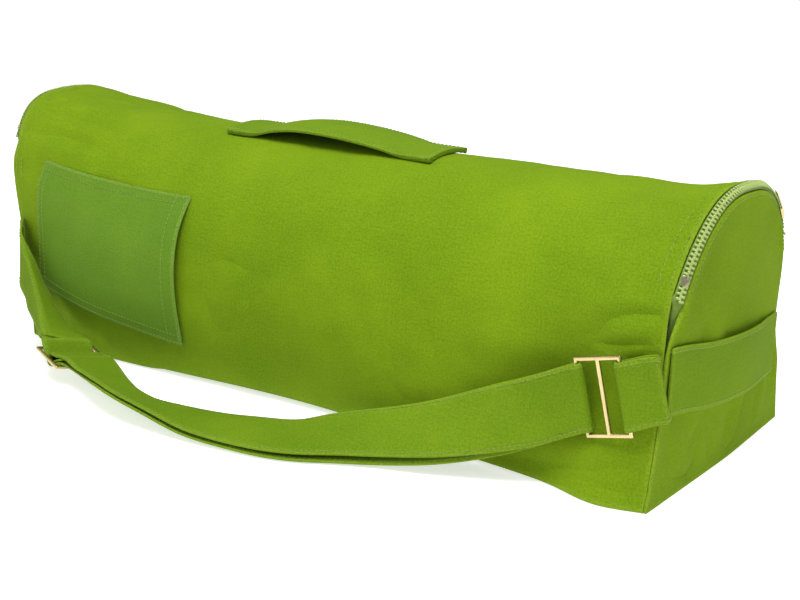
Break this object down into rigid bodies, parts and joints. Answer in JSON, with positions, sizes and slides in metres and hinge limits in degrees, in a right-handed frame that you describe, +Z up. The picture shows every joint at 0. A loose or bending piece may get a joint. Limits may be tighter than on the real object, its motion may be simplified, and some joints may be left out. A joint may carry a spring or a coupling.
{
  "type": "yoga mat bag",
  "caption": "Long soft canvas bag for a rolled mat, with a zip over the top, an outside pocket, a carry handle and an adjustable shoulder strap.",
  "frame": {"origin": "middle of the bag's flat base, on the surface that it lies on", "axes": "+X along the bag towards the end with the buckle, +Z up through the zip side, -Y out of the front that carries the pocket"},
  "size_m": [0.7371, 0.3395, 0.2343],
  "materials": {
    "canvas": "matte woven cotton canvas",
    "zip_teeth": "moulded plastic teeth",
    "buckle_metal": "brushed soft gold"
  },
  "bodies": {
    "root": {"main_body": "canvas", "end_panel_right": "canvas", "end_panel_left": "canvas", "zip_right": "zip_teeth", "zip_left": "zip_teeth", "pocket": "canvas", "handle": "canvas", "end_band_right": "canvas", "end_band_left": "canvas", "shoulder_strap": "canvas", "buckle_loop": "canvas", "buckle": "buckle_metal", "strap_slide": "buckle_metal", "zip_stop_right": "buckle_metal", "zip_stop_left": "buckle_metal", "zip_slider_right": "buckle_metal", "zip_slider_left": "buckle_metal"}
  },
  "joints": []
}
